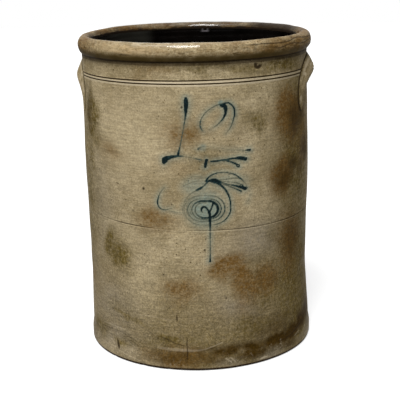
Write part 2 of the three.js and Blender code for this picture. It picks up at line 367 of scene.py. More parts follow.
# Faint outer arcs on the left of the spiral: radius, and the angles that they run between in degrees
SPIRAL_ECHOES = [(25, 105, 250), (31, 115, 240), (36.5, 130, 215)]
ECHO_HALF_WIDTH, ECHO_DARK, ECHO_FLAT = 0.8, 0.45, 0.75
# Places where the slip bled into the glaze: arc, height, half width, half height and strength
BLEEDS = [
    (68, 308, 34, 16, 0.55), (16, 304, 25, 17, 0.55), (56, 431, 6, 6, 0.9), (-31, 346, 7, 7, 0.9),
    (84, 344, 7, 7, 0.6), (27, 365, 7, 7, 0.7), (28, 306, 8, 8, 0.6), (3.6, 440, 5, 5, 0.7),
]
HALO_REACH, HALO_STRENGTH = 5.0, 0.68
WASH_RADIUS, WASH_STRENGTH = 36.0, 0.9
STROKE_MARGIN = 12.0  # how far round the strokes places are looked at
STROKE_EDGE = 1.2  # over which a stroke fades at its edge


def curve_through(points, step=0.8):
    """Even points on a smooth curve through the given ones."""
    points = np.asarray(points, float)
    padded = np.vstack([2 * points[0] - points[1], points, 2 * points[-1] - points[-2]])
    found = []
    for a, b, c, d in zip(padded, padded[1:], padded[2:], padded[3:]):
        count = max(2, int(np.hypot(*(c - b)[:2]) / step))
        t = np.linspace(0, 1, count, endpoint=False)[:, None]
        square = (2 * a - 5 * b + 4 * c - d) * t**2
        found.append(0.5 * (2 * b + (c - a) * t + square + (3 * b - a - 3 * c + d) * t**3))
    return np.vstack(found + [points[-1:]])


def strokes_through(runs):
    return np.vstack([curve_through(points) for points in runs])


def slip_marks():
    """Every stroke as points of arc, height, half width and darkness."""
    middle, level = SPIRAL_MIDDLE
    runs = [strokes_through(STROKES.values())]
    angles = [radians(90 - 90 * quarter) for quarter in range(len(SPIRAL_QUARTERS))]
    angles[0] = radians(SPIRAL_START)
    turns = list(zip(angles, np.array(SPIRAL_QUARTERS)))
    for (first, start), (last, end) in zip(turns, turns[1:]):
        t = smooth(np.linspace(0, 1, 60))[:, None]
        angle = np.linspace(first, last, 60)
        radius, width, dark = lerp(start, end, t).T
        arc = middle + radius * np.cos(angle)
        runs.append(np.stack([arc, level + radius * np.sin(angle), width, dark], axis=-1))
    for radius, first, last in SPIRAL_ECHOES:
        angle = np.radians(np.linspace(first, last, 50))
        arc = middle + radius * np.cos(angle)
        height = level + ECHO_FLAT * radius * np.sin(angle)
        fade = ECHO_DARK * np.sin(np.linspace(0, pi, 50)) ** 0.5
        runs.append(np.stack([arc, height, np.full(50, ECHO_HALF_WIDTH), fade], axis=-1))
    return np.vstack(runs)


def cover_of(marks, arc, height):
    """How far strokes cover places on the wall, and the glow round them, each 0 to 1."""
    mark_arc, mark_height, width, dark = marks.T
    low, high = marks[:, :2].min(0) - STROKE_MARGIN, marks[:, :2].max(0) + STROKE_MARGIN
    near = (arc > low[0]) & (arc < high[0]) & (height > low[1]) & (height < high[1])
    cover = np.zeros(arc.shape)
    glow = np.zeros(arc.shape)
    for part, away in distances(arc, height, near, mark_arc, mark_height):
        cover.flat[part] = (smooth((width + STROKE_EDGE / 2 - away) / STROKE_EDGE) * dark).max(1)
        glow.flat[part] = (bell(away, 0.0, width + HALO_REACH) * dark).max(1)
    return cover, glow


def slip_on(arc, height):
    """Cobalt slip and its pale blue halo, each 0 to 1, at places on the wall."""
    cobalt, halo = cover_of(slip_marks(), arc, height)
    wash = np.hypot(arc - SPIRAL_MIDDLE[0], height - SPIRAL_MIDDLE[1]) / WASH_RADIUS
    layers = [HALO_STRENGTH * halo, WASH_STRENGTH * smooth(1.3 - wash)]
    for middle, level, across, up, strength in BLEEDS:
        layers.append(strength * smooth(1.4 - np.hypot((arc - middle) / across, (height - level) / up)))
    return cobalt, strongest(*layers)


# Blushes and smoke that the kiln and the years left, and some painted shade: arc, height, half width, half
# height
# in millimetres, strength, and for some a lean in degrees
BROWN = [
    (-22, 338, 24, 9, 0.25), (24, 345, 20, 9, 0.25), (-46, 480, 30, 9, 0.4), (-55, 248, 25, 14, 0.84),
    (5, 387, 20, 18, 0.82), (-12, 381, 16, 22, 0.75), (-27, 391, 14, 14, 0.4), (-132, 349, 19, 15, 0.6),
    (62, 172, 22, 18, 1.2, -14), (60, 160, 16, 12, 0.8), (88, 157, 24, 16, 1.1, -15),
    (98, 135, 20, 27, 1.05), (128, 142, 28, 20, 0.9), (-10, 136, 25, 17, 0.8), (-18, 20, 44, 13, 1.0),
    (20, 18, 24, 8, 0.5), (168, 305, 20, 23, 1.35), (184, 402, 29, 34, 1.15), (196, 374, 18, 24, 0.8),
    (192, 190, 26, 42, 0.9), (240, 372, 24, 48, 0.6), (330, 260, 46, 30, 0.7), (-340, 330, 40, 36, 0.65),
    (520, 140, 46, 26, 0.7, 10), (-470, 190, 30, 24, 0.6), (430, 400, 26, 30, 0.6),
    (-250, 120, 30, 20, 0.6),
]
# Besides blushes, some of these spots are painted shade: down the left and right sides, and under the rim at
# the neck
OLIVE_AND_SHADE = [
    (60, 18, 110, 14, 0.65), (420, 16, 200, 19, 0.75), (-480, 16, 200, 19, 0.7), (-186, 402, 22, 38, 1.35),
    (-200, 322, 20, 52, 0.8), (-150, 198, 15, 22, 1.2, -35), (-124, 178, 20, 18, 1.25, -20),
    (117, 402, 18, 18, 0.85), (30, 337, 24, 11, 0.4), (24, 356, 30, 10, 0.4), (140, 130, 44, 50, 0.8),
    (216, 350, 60, 120, 1.05), (216, 120, 60, 140, 1.0), (142, 246, 26, 34, 0.3), (170, 392, 30, 50, 0.45),
    (-40, 90, 90, 50, 0.4), (60, 60, 100, 36, 0.5), (-30, 44, 70, 14, 0.6), (22, 46, 60, 14, 0.55),
    (106, 64, 46, 26, 0.8), (150, 64, 30, 24, 0.7), (-190, 40, 26, 13, 0.85), (-106, 77, 36, 5, 0.8, -5),
    (-100, 37, 24, 9, 0.5, -10), (-236, 285, 48, 150, 0.85), (-124, 30, 20, 7, 0.8, -18),
    (150, 212, 20, 14, 0.5), (60, 487, 130, 8, 0.65), (-225, 480, 40, 16, 0.6), (176, 482, 44, 14, 1.05),
    (20, 471, 70, 7, 0.25), (-60, 42, 44, 10, 0.5, -12), (-36, 49, 28, 7, 1.0, -18),
    (-130, 86, 40, 12, 0.45, -10), (560, 300, 90, 120, 0.5), (-420, 300, 60, 90, 0.5),
    (380, 120, 60, 60, 0.6),
]
SMOKE = [
    (24, 29, 24, 9, 0.65), (58, 32, 28, 9, 1.05), (104, 31, 26, 10, 1.05), (152, 30, 34, 12, 1.15),
    (193, 36, 30, 11, 1.2, 6), (226, 43, 24, 14, 1.2, 10), (256, 52, 20, 20, 1.0, 20),
    (150, 52, 36, 14, 0.65), (160, 60, 34, 18, 0.45), (118, 74, 26, 14, 0.25), (112, 36, 16, 7, 0.85),
    (99, 19, 24, 9, 1.0), (120, 21, 16, 8, 0.9), (176, 19, 24, 8, 0.8), (140, 17, 22, 9, 0.35),
    (36, 20, 16, 8, 0.6), (-24, 23, 44, 12, 0.6), (-222, 24, 16, 16, 0.45), (175, 298, 17, 18, 0.75),
    (196, 319, 13, 11, 0.85), (202, 392, 18, 24, 0.8), (160, 306, 9, 15, 0.45), (222, 312, 14, 14, 0.5),
    (246, 335, 16, 18, 0.9), (198, 198, 24, 28, 0.5), (222, 404, 14, 26, 0.8), (-196, 410, 13, 34, 0.45),
    (330, 30, 46, 18, 0.8), (-330, 22, 90, 12, 0.6),
]
GREY = [
    (122, 210, 44, 30, 0.6), (88, 100, 36, 22, 0.55), (-140, 90, 50, 36, 0.5), (-150, 36, 60, 22, 0.5),
    (64, 15, 24, 9, 0.8), (136, 16, 30, 9, 0.8), (-180, 260, 40, 70, 0.35), (470, 240, 70, 70, 0.45),
    (-300, 120, 70, 50, 0.4),
]
BLOOM = [
    (-90, 380, 44, 50, 0.6), (-96, 216, 30, 20, 0.25), (-150, 232, 28, 13, 0.5), (-76, 128, 26, 40, 0.5),
    (148, 382, 13, 40, 0.5), (146, 258, 14, 22, 0.25), (-112, 15, 46, 9, 0.25), (-168, 14, 30, 9, 0.4),
    (-62, 8, 30, 7, 0.3), (-16, 35, 36, 3, 0.5), (124, 9, 14, 4, 0.4), (234, 12, 36, 7, 0.85),
    (176, 7, 24, 5, 0.5),
]
# The spots of each kind, a seed, and how many millimetres their edges are ragged
STAIN_SPOTS = {
    "brown": (BROWN, 20, 5.0), "olive_and_shade": (OLIVE_AND_SHADE, 30, 5.0), "smoke": (SMOKE, 40, 2.0),
    "grey": (GREY, 50, 5.0), "bloom": (BLOOM, 55, 2.0),
}
FINE_RAGGED = 1.2  # millimetres of finer raggedness that all of them have
# Scratches: arc, height, half width in millimetres, and how dark
SCRATCHES = [
    [(-168, 62, 0.5, 0.25), (-136, 74, 0.5, 0.4), (-106, 76, 0.6, 0.5), (-84, 70, 0.5, 0.3)],
    [(-78, 67, 0.5, 0.3), (-64, 58, 0.6, 0.5), (-50, 50, 0.6, 0.4)],
    [(-112, 88, 0.5, 0.4), (-79, 95, 0.6, 0.5), (-43, 98, 0.6, 0.5), (-26, 112, 0.5, 0.5),
     (-14, 123, 0.5, 0.4)],
    [(-54, 56, 0.8, 0.6), (-40, 53, 1.2, 0.9), (-28, 47.5, 1.1, 0.8), (-14, 43, 0.9, 0.6), (2, 40, 0.7, 0.4)],
    [(-122, 41, 0.6, 0.6), (-110, 44, 0.7, 0.7), (-99, 40, 0.6, 0.5)],
    [(-118, 35, 0.6, 0.6), (-104, 38, 0.7, 0.7), (-92, 33, 0.6, 0.6)],
    [(-185, 44, 0.7, 0.4), (-150, 48, 0.8, 0.5), (-118, 47, 0.7, 0.45), (-88, 38, 0.6, 0.4)],
    [(-20.5, 94, 0.9, 0.7), (-20, 89, 1.5, 1.0), (-19.5, 83.5, 0.9, 0.8)],
    [(-160, 52, 0.5, 0.35), (-128, 44, 0.5, 0.4), (-96, 30, 0.5, 0.3)],
    [(-176, 40, 0.5, 0.3), (-150, 30, 0.5, 0.4), (-120, 22, 0.5, 0.3)],
    [(-137.5, 34, 0.9, 0.9), (-134.5, 28, 2.0, 1.0), (-132, 23, 2.7, 1.0), (-130.5, 19, 1.2, 0.9)],
    [(252, 52, 0.9, 0.9), (236, 43, 1.1, 1.0), (212, 36, 1.1, 1.0), (186, 29, 0.9, 0.9), (150, 27, 0.7, 0.5)],
    [(18, 86, 0.5, 0.3), (48, 80, 0.5, 0.35), (76, 84, 0.5, 0.25)],
]
# Pale scrapes, given the same way
SCRAPES = [
    [(-54, 36, 1.6, 0.12), (-32, 35.5, 2.2, 0.16), (-8, 34.5, 2.2, 0.2), (10, 34.5, 1.6, 0.16),
     (26, 36.5, 1.0, 0.14)],
    [(-176, 52, 1.0, 0.1), (-150, 55, 1.2, 0.2), (-116, 54, 1.0, 0.12)],
    [(117, 7, 0.9, 0.5), (124, 8.5, 1.4, 0.6), (131, 8, 0.9, 0.45)],
    [(-90, 86, 0.5, 0.2), (-60, 88, 0.5, 0.25), (-30, 84, 0.5, 0.2)],
    [(26, 37, 0.8, 0.25), (52, 45.5, 0.7, 0.3)], [(148, 12, 0.5, 0.3), (160, 16, 0.4, 0.25)],
    [(57, 19, 0.5, 0.45), (66, 12, 0.7, 0.6)], [(64, 20, 0.5, 0.4), (73, 11, 0.6, 0.55)],
    [(70, 16, 0.4, 0.35), (79, 12, 0.4, 0.3)], [(99, 22, 0.4, 0.3), (103, 16, 0.4, 0.3)],
    [(198, 24, 0.5, 0.3), (212, 28, 0.5, 0.35)], [(228, 23, 0.6, 0.4), (238, 28, 0.6, 0.4)],
    [(-178, 20, 0.6, 0.3), (-150, 14, 0.6, 0.3)], [(-120, 14, 0.6, 0.3), (-84, 8, 0.6, 0.3)],
]
# Pits and iron spots: arc, height, radius
PITS = [
    (-3, 427, 1.5), (-69, 298, 2.0), (27, 201.5, 1.5), (-185, 492, 1.6), (25, 401, 1.0), (83, 375.5, 0.9),
    (60, 120, 1.4), (-40, 160, 1.2), (-120, 300, 1.2), (-90, 260, 1.1),
]
PIT_CLUSTER = (-150.0, 106.0, 20.0, 12.0)  # a patch of small pits: arc, height, half width, half height
PIT_CLUSTER_COUNT = 26
FOOT_CRACK = (-4.4, 20.0, 56.0)  # arc, and the heights that it runs between
RIM_DIMPLE = (119.5, 484.8)  # arc and height
FOOT_SHADE_LINE = 5.6  # painted contact shadow: height of the dark line round the bottom edge
# Painted shadow that the rim casts on the neck, darkest in the crease under it: strength, how far under the
# neck it starts, and over how much it grows
SHADOW_UNDER_RIM = ((0.97, 3.0, 2.0), (0.85, 7.5, 3.5), (0.5, 16.0, 14.0))


def pits_on(arc, height, edge):
    """The named pits and the small ones scattered in their cluster, 0 to 1, out to edge times their size."""
    rng = np.random.default_rng(8)
    middle, level, across, up = PIT_CLUSTER
    pits = list(PITS)
    for _ in range(PIT_CLUSTER_COUNT):
        pits.append((middle + across * rng.normal(), level + up * rng.normal(), rng.uniform(0.5, 1.0)))
    return strongest(*(smooth(edge - np.hypot(arc - a, height - h) / size) for a, h, size in pits))


def blush(arc, height, spots, seed, ragged):
    """Soft patches with edges ragged by so many millimetres, 0 to 1."""
    points = place(arc / ARC, ARC, height)
    arc = arc + swells(points, ((ragged, 46, seed), (FINE_RAGGED, 15, seed + 1)))
    height = height + swells(points, ((ragged, 50, seed + 2), (FINE_RAGGED, 14, seed + 3)))
    grain = 1.0 + 0.10 * swell(points, 9, seed + 4)
    total = np.zeros(arc.shape)
    for middle, level, across, up, strength, *lean in spots:
        lean = radians(sum(lean))
        along = (arc - middle + HALF_ROUND) % (2 * HALF_ROUND) - HALF_ROUND
        rise = height - level
        u = (along * cos(lean) + rise * sin(lean)) / across
        v = (rise * cos(lean) - along * sin(lean)) / up
        total = np.maximum(total, strength * np.exp(-0.6 * (u * u + v * v) ** 1.3))
    return np.clip(total * grain, 0, 1)


def worn_and_highlight_on(arc, height):
    """Pale edges under the scribed lines and the seam, partly rubbed and partly painted highlight, and pale
    scrapes, 0 to 1.
    """
    around = arc / ARC
    rub = np.clip(0.6 + 0.4 * swell(place(around, ARC, height), 70, 12), 0.0, 1.0)
    # Painted highlight on the lips under the lines, stronger towards the front
    front = 0.5 + 0.5 * bell(arc, 10.0, 130.0)
    lines = [front * groove(from_line(line, around, height) + 2.3, 1.4) for line in SCRIBED]
    beside_stem = 0.3 + 0.7 * bell(arc, 60.0, 40.0)
    seam = groove(height - seam_height(around) + SEAM_LIP_DROP, 1.1)
    seam = 0.4 * beside_stem * rub * seam_shows(arc) * seam
    scrapes = cover_of(strokes_through(SCRAPES), arc, height)[0]
    return strongest(*lines, seam, scrapes)


def dimple_hook(arc, height):
    """The hook-shaped dent under the rim at the right: a ring that is open at the top."""
    across, up = arc - RIM_DIMPLE[0], height - RIM_DIMPLE[1]
    opening = smooth((up + 0.35 * across - 1.0) / 1.6)
    return smooth(1.6 * groove(np.hypot(across / 1.2, up) - 3.8, 3.0)) * (1.0 - opening)


def grime_and_shade_on(arc, height):
    """Darkening in the lines, seam, pits and cracks, painted shadow under the rim and at the bottom edge, and
    soiling with painted contact shade by the handles, 0 to 1.
    """
    around = arc / ARC
    # Painted shadow of the rim on the top of the neck
    layers = [strength * smooth((height - NECK + drop) / grow) for strength, drop, grow in SHADOW_UNDER_RIM]
    for line in SCRIBED:
        layers.append(np.minimum(1.0, 1.7 * groove(from_line(line, around, height) - 0.2, 1.3)))
    # Soiling and painted contact shade along both handles
    for side in (1, -1):
        layers.append(handle_edge(arc, height, side))
    wear = np.clip(0.65 + 0.45 * swell(place(around, ARC, height), 90, 4), 0, 1)
    seam = wear * seam_shows(arc) * groove(height - seam_height(around) - 0.2, 1.0)
    pits = pits_on(arc, height, 1.6)
    dimple = dimple_hook(arc, height)
    scratches = 0.9 * cover_of(strokes_through(SCRATCHES), arc, height)[0]
    # Painted contact shadow: a dark line round the bottom edge
    bottom = smooth((FOOT_SHADE_LINE - height) / 1.5)
    middle, low, high = FOOT_CRACK
    crack = groove(arc - middle - 0.5 * np.sin(height / 4), 1.1) * (height > low) * (height < high)
    return strongest(*layers, seam, pits, dimple, scratches, bottom, crack)


def outside_marks(arc, height):
    cobalt, halo = slip_on(arc, height)
    made = {"cobalt": cobalt, "halo": halo}
    for stain, (spots, seed, ragged) in STAIN_SPOTS.items():
        made[stain] = blush(arc, height, spots, seed, ragged)
    made["grime_and_shade"] = grime_and_shade_on(arc, height)
    made["worn_and_highlight"] = worn_and_highlight_on(arc, height)
    return made


# Building meshes
SHARP = radians(50)  # edges that turn more than this are not shaded smooth
FINE_STEP, EDGE_STEP, SIDE_STEP, BACK_STEP = 1.35, 2.2, 3.6, 7.0  # millimetres between columns
LEAST_STEP = 0.3  # rows closer together than this are left out
SLIP_THICK, PIT_DEEP = 0.35, 0.6


def in_scene(name, data):
    """A new object in the scene."""
    made = bpy.data.objects.new(name, data)
    bpy.context.scene.collection.objects.link(made)
    return made


def new_piece(name, node, points, faces, material, marks):
    """One visual piece of the crock, from points in millimetres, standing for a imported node."""
    mesh = bpy.data.meshes.new(name)
    mesh.from_pydata((np.asarray(points) * MM).tolist(), [], faces)
    mesh.update()
    mesh.shade_smooth()
    mesh.set_sharp_from_angle(angle=SHARP)
    for mark, values in marks.items():
        layer = mesh.attributes.new(mark, "FLOAT", "POINT")
        layer.data.foreach_set("value", np.ravel(values).astype(np.float32))
    mesh.materials.append(material)
    piece = in_scene(name, mesh)
    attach(piece, "root")
    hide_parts(node)
    return piece


def ring_faces(rows, columns, loop):
    """Quads of a grid that closes round the pot and, for a loop, from its last row to its first."""
    i, j = np.meshgrid(np.arange(rows if loop else rows - 1), np.arange(columns), indexing="ij")
    up, on = (i + 1) % rows, (j + 1) % columns
    quads = np.stack([i * columns + j, i * columns + on, up * columns + on, up * columns + j], axis=-1)
    return quads.reshape(-1, 4).tolist()


def pole_faces(row, columns, pole, upward):
    """Triangles from a ring to a point on the axis."""
    first = row * columns
    pairs = [(first + j, first + (j + 1) % columns) for j in range(columns)]
    return [(pole, a, b) if upward else (pole, b, a) for a, b in pairs]


def wall_columns(left):
    """Angles round the pot, closest together from the arc left to the right of the decoration."""
    spans = (
        (-HALF_ROUND, -390.0, BACK_STEP), (-390.0, -214.0, SIDE_STEP), (-214.0, left, EDGE_STEP),
        (left, 128.0, FINE_STEP), (128.0, 262.0, EDGE_STEP), (262.0, 390.0, SIDE_STEP),
        (390.0, HALF_ROUND - BACK_STEP / 2, BACK_STEP),
    )
    return np.concatenate([np.arange(*span) for span in spans]) / ARC


def rows_between(low, high, step, fine):
    """Heights from low to high, at closer steps within the fine bands. Later bands overrule earlier ones."""
    spans = [(low, high, step), *fine]
    heights = [high]
    for number, (start, end, close) in enumerate(spans):
        found = np.arange(max(low, start), min(high, end), close)
        for other_start, other_end, _ in spans[number + 1 :]:
            found = found[(found < other_start) | (found >= other_end)]
        heights.extend(found)
    heights = np.unique(np.round(heights, 3))
    apart = np.append(np.diff(heights) > LEAST_STEP, True)
    apart[0] = True
    return heights[apart]


UPPER_COLUMNS = wall_columns(-76.0)
LOWER_COLUMNS = wall_columns(-142.0)
EVEN_COLUMNS = np.linspace(-pi, pi, 480, endpoint=False)


def thrown_section(name, node, columns, low, high, tilt, fine):
    """A section of the wall: a relieved outside, ends that tilt with the seam, and a plain inside."""
    around, level = np.meshgrid(columns, rows_between(low, high, 2.0, fine), indexing="xy")
    height = level + SEAM_SLOPE * ARC * np.sin(around) * tilt((level - low) / (high - low))
    arc = around * ARC
    marks = outside_marks(arc, height)
    pits = np.maximum(pits_on(arc, height, 1.5), 1.6 * dimple_hook(arc, height))
    radius = thrown_radius(around, height) + SLIP_THICK * marks["cobalt"] - PIT_DEEP * pits
    inner_top = place(around[-1:], INNER_RADIUS, height[-1:])
    inner_low = place(around[:1], INNER_RADIUS, height[:1])
    points = np.concatenate([place(around, radius, height), inner_top, inner_low])
    for mark in marks:
        marks[mark] = np.concatenate([marks[mark], np.zeros((2, len(columns)))])
    faces = ring_faces(len(points), len(columns), loop=True)
    return new_piece(name, node, points.reshape(-1, 3), faces, GLAZE, marks)


def profile_piece(name, node, profile, columns, relief, material, marks, poles=False, level=False):
    """A turned piece from a profile of radius and height, closed by poles on the axis or else a ring.

    Its relief moves it along its normals, or straight out from the axis where it is level.
    """
    profile = np.asarray(profile, float)
    ahead = np.roll(profile, -1, axis=0)
    behind = np.roll(profile, 1, axis=0)
    if poles:
        ahead[-1], behind[0] = profile[-1], profile[0]
    heading = ahead - behind
    heading /= np.maximum(np.linalg.norm(heading, axis=1, keepdims=True), 1e-6)
    outward = np.stack([heading[:, 1], -heading[:, 0]], axis=-1)
    if level:
        outward[:] = (1.0, 0.0)
    around, radius, height = np.broadcast_arrays(columns, profile[:, :1], profile[:, 1:])
    move = relief(around, radius, height)
    points = place(around, radius + outward[:, :1] * move, height + outward[:, 1:] * move)
    rows, count = around.shape
    faces = ring_faces(rows, count, loop=not poles)
    made = marks(around * ARC, points[..., 2], np.hypot(points[..., 0], points[..., 1]))
    points = points.reshape(-1, 3)
    if poles:
        points = np.vstack([points, [0, 0, profile[0, 1]], [0, 0, profile[-1, 1]]])
        faces += pole_faces(0, count, rows * count, upward=False)
        faces += pole_faces(rows - 1, count, rows * count + 1, upward=True)
        made = {mark: np.append(np.ravel(values), [0, 0]) for mark, values in made.items()}
    return new_piece(name, node, points, faces, material, made)


def arc_of(middle, across, up, start, end, steps):
    angle = np.radians(np.linspace(start, end, steps + 1))
    return np.stack([middle[0] + across * np.cos(angle), middle[1] + up * np.sin(angle)], axis=-1)


# Materials
CLAY_PALE = (0.470, 0.386, 0.240)
CLAY_DEEP = (0.225, 0.175, 0.096)
# Painted shade low on the pot
CLAY_PAINTED_LOW_SHADE = (0.165, 0.126, 0.071)
BLUSH_BROWN = (0.120, 0.065, 0.017)
BLUSH_OLIVE = (0.098, 0.069, 0.018)
SMOKE_DARK = (0.037, 0.0200, 0.0030)
GREY_VEIL = (0.225, 0.195, 0.148)
GRIME_AND_SHADE_DARK = (0.020, 0.012, 0.005)
# Pale wear and crumbs, and painted highlights
WORN_AND_HIGHLIGHT_PALE = (0.52, 0.44, 0.31)
COBALT_FAINT = (0.076, 0.080, 0.054)
COBALT_MID = (0.016, 0.037, 0.037)
COBALT_DEEP = (0.0055, 0.0115, 0.0120)
HALO_TINT = (0.150, 0.218, 0.194)
# Painted shade under the rim's roll
RIM_UNDERSIDE_SHADE = (0.052, 0.034, 0.010)
# Pale rubbed glaze and painted highlight on the rim
RIM_PALE_AND_HIGHLIGHT = (0.56, 0.42, 0.24)
SAND_DARK, SAND_PALE = (0.30, 0.22, 0.13), (0.44, 0.36, 0.25)
SLIP_BLACK, SLIP_BROWN = (0.0009, 0.0007, 0.0006), (0.0022, 0.0015, 0.0011)
SLIP_THIN = (0.012, 0.008, 0.005)
# Painted sheen on the slip
SLIP_PAINTED_SHEEN = (0.020, 0.019, 0.015)
# Painted reflection on the slip
GLINT_PALE = (0.10, 0.09, 0.095)
# The spots for the greenish blush also hold painted shade down the sides and under the rim
STAINS = (("bloom", CLAY_PALE), ("grey", GREY_VEIL), ("olive_and_shade", BLUSH_OLIVE), ("brown", BLUSH_BROWN))
LOW_START, LOW_END = 0.02, 0.30  # metres up, between which the clay goes from its painted low shade to its usual colour
GLAZE_GLOSS, SLIP_GLOSS = 0.012, 0.14  # specular levels
RIM_COAT, RIM_COAT_ROUGHNESS = 0.9, 0.12


class Shades:
    """The nodes of a material or a world under construction, and the colour laid so far."""

    def __init__(self, owner, colour=None):
        owner.use_nodes = True
        self.owner = owner
        self.tree = owner.node_tree
        self.coords = self.add("ShaderNodeTexCoord").outputs["Object"]
        self.colour = colour

    def add(self, kind, settings=None, **inputs):
        made = self.tree.nodes.new(kind)
        for setting, value in (settings or {}).items():
            setattr(made, setting, value)
        self.set_inputs(made, inputs)
        return made

    def set_inputs(self, node, inputs):
        """Inputs by their names, with _ for each space."""
        for name, value in inputs.items():
            self.put(node.inputs[name.replace("_", " ")], value)

    def put(self, socket, value):
        if isinstance(value, bpy.types.NodeSocket):
            self.tree.links.new(value, socket)
        elif hasattr(value, "__len__") and len(value) == 3 and socket.type == "RGBA":
            socket.default_value = (*value, 1.0)
        else:
            socket.default_value = value

    def wired(self, kind, *values, **settings):
        """The output of a node with these values on its inputs, in order."""
        made = self.add(kind, settings)
        for socket, value in zip(made.inputs, values):
            self.put(socket, value)
        return made.outputs[0]

    def maths(self, operation, a, b):
        return self.wired("ShaderNodeMath", a, b, operation=operation)

    def times(self, a, b):
        return self.maths("MULTIPLY", a, b)

    def noise(self, scale, detail=3.0, stretch=None, rough=0.5):
        """Noise of about so many grains to the metre, squeezed by the two of stretch: level and upward."""
        coords = self.coords
        if stretch:
            level, upward = stretch
            coords = self.add("ShaderNodeMapping", Vector=coords, Scale=(level, level, upward)).outputs[0]
        made = self.add("ShaderNodeTexNoise", Vector=coords, Scale=scale, Detail=detail, Roughness=rough)
        return made.outputs["Fac"]

    def mark(self, name):
        return self.add("ShaderNodeAttribute", {"attribute_name": name}).outputs["Fac"]

    def height(self):
        return self.add("ShaderNodeSeparateXYZ", Vector=self.coords).outputs["Z"]

    def ramp(self, value, low, high, start=0.0, end=1.0):
        """A share that goes from start to end while the value goes from low to high."""
        return self.add(
            "ShaderNodeMapRange", {"interpolation_type": "SMOOTHSTEP"},
            Value=value, From_Min=low, From_Max=high, To_Min=start, To_Max=end,
        ).outputs["Result"]

    def grain(self, scale, low, high, start=0.0, end=1.0, **noise):
        """Noise that is ramped."""
        return self.ramp(self.noise(scale, **noise), low, high, start, end)

    def mix(self, share, a, b, way="MIX"):
        made = self.add("ShaderNodeMix", {"data_type": "RGBA", "blend_type": way})
        for number, value in ((0, share), (6, a), (7, b)):
            self.put(made.inputs[number], value)
        return made.outputs[2]

    def lay(self, tint, share, way="MIX"):
        """Lay a tint over the colour by a share."""
        self.colour = self.mix(share, self.colour, tint, way)

    def cover(self, tint, scale, low, high, start=0.0, end=1.0, mark=None, **noise):
        """Lay a tint over the colour by grains, and where a mark is named by that too."""
        share = self.grain(scale, low, high, start, end, **noise)
        self.lay(tint, self.times(share, self.mark(mark)) if mark else share)

    def bump(self, height, strength, distance, normal=None):
        made = self.add("ShaderNodeBump", Strength=strength, Distance=distance, Height=height)
        if normal:
            self.put(made.inputs["Normal"], normal)
        return made.outputs["Normal"]

    def surfaced(self, **inputs):
        """The material, with the colour and these inputs on its surface."""
        self.set_inputs(self.tree.nodes["Principled BSDF"], {"Base Color": self.colour, **inputs})
        return self.owner


def clay_shades(name):
    """Salt-glazed clay: cloudy tan with grain, dark specks and faint turning streaks, and painted shade low
    down.
    """
    shades = Shades(bpy.data.materials.new(name), CLAY_DEEP)
    shades.cover(CLAY_PALE, 9, 0.30, 0.66, detail=4)
    # Painted shade: the clay darker towards the bottom
    shades.lay(CLAY_PAINTED_LOW_SHADE, shades.ramp(shades.height(), LOW_START, LOW_END, 0.95, 0.0))
    shades.cover(BLUSH_OLIVE, 21, 0.42, 0.68, end=0.4, detail=5, rough=0.6)
    shades.cover(CLAY_DEEP, 85, 0.40, 0.68, end=0.5, detail=4, rough=0.65)
    broken = shades.grain(16, 0.4, 0.65, end=0.36)
    streak = shades.grain(55, 0.42, 0.7, detail=5, stretch=(0.4, 5.0), rough=0.65)
    shades.lay(CLAY_DEEP, shades.times(streak, broken))
    shades.cover(CLAY_PALE, 75, 0.5, 0.72, end=0.4, detail=4, stretch=(0.7, 3.0), rough=0.65)
    shades.cover(CLAY_DEEP, 330, 0.40, 0.62, end=0.55, rough=0.75)
    shades.cover(BLUSH_OLIVE, 420, 0.62, 0.72, end=0.7, detail=2)
    shades.cover(CLAY_PALE, 290, 0.52, 0.66, end=0.35, stretch=(1.0, 1.6), rough=0.75)
    spots = shades.add("ShaderNodeTexVoronoi", Vector=shades.coords, Scale=75.0).outputs["Distance"]
    shades.lay(SMOKE_DARK, shades.ramp(spots, 0.05, 0.12, 0.8, 0.0))
    return shades


def toothed(shades, stain):
    """Fine grain of the glaze: darker pores, faint lines of turning, and drips where it is stained."""
    low_share = shades.ramp(shades.height(), LOW_START, LOW_END, 0.9, 0.5)
    share = shades.maths("ADD", low_share, shades.times(stain, 0.5))
    pores = shades.grain(360, 0.36, 0.64, 0.66, 1.22, rough=0.8)
    turning = shades.grain(170, 0.36, 0.64, 0.87, 1.11, stretch=(0.25, 2.2), rough=0.7)
    drips = shades.grain(150, 0.36, 0.64, 0.84, 1.12, stretch=(1.4, 0.16), rough=0.7)
    shades.lay(pores, share, "MULTIPLY")
    shades.lay(turning, 1.0, "MULTIPLY")
    shades.lay(drips, stain, "MULTIPLY")


def stained(shades):
    """The kiln's blushes, broken up by grain, its smoke, and the fine grain of the glaze."""
    grain = shades.grain(190, 0.34, 0.66, 0.62, 1.12, detail=4, rough=0.7)
    for mark, tint in STAINS:
        shades.lay(tint, shades.times(shades.mark(mark), grain))
    shades.lay(SMOKE_DARK, shades.mark("smoke"))
    toothed(shades, shades.mark("olive_and_shade"))


def glazed(shades, roughness, peel, **more):
    """The surface of salt glaze, with its orange-peel skin and finer grain."""
    skin = shades.bump(shades.noise(330, 2.0), peel, 0.0006)
    skin = shades.bump(shades.noise(1100, 1.0), peel * 0.5, 0.0003, skin)
    return shades.surfaced(Roughness=roughness, Specular_IOR_Level=GLAZE_GLOSS, Normal=skin, **more)


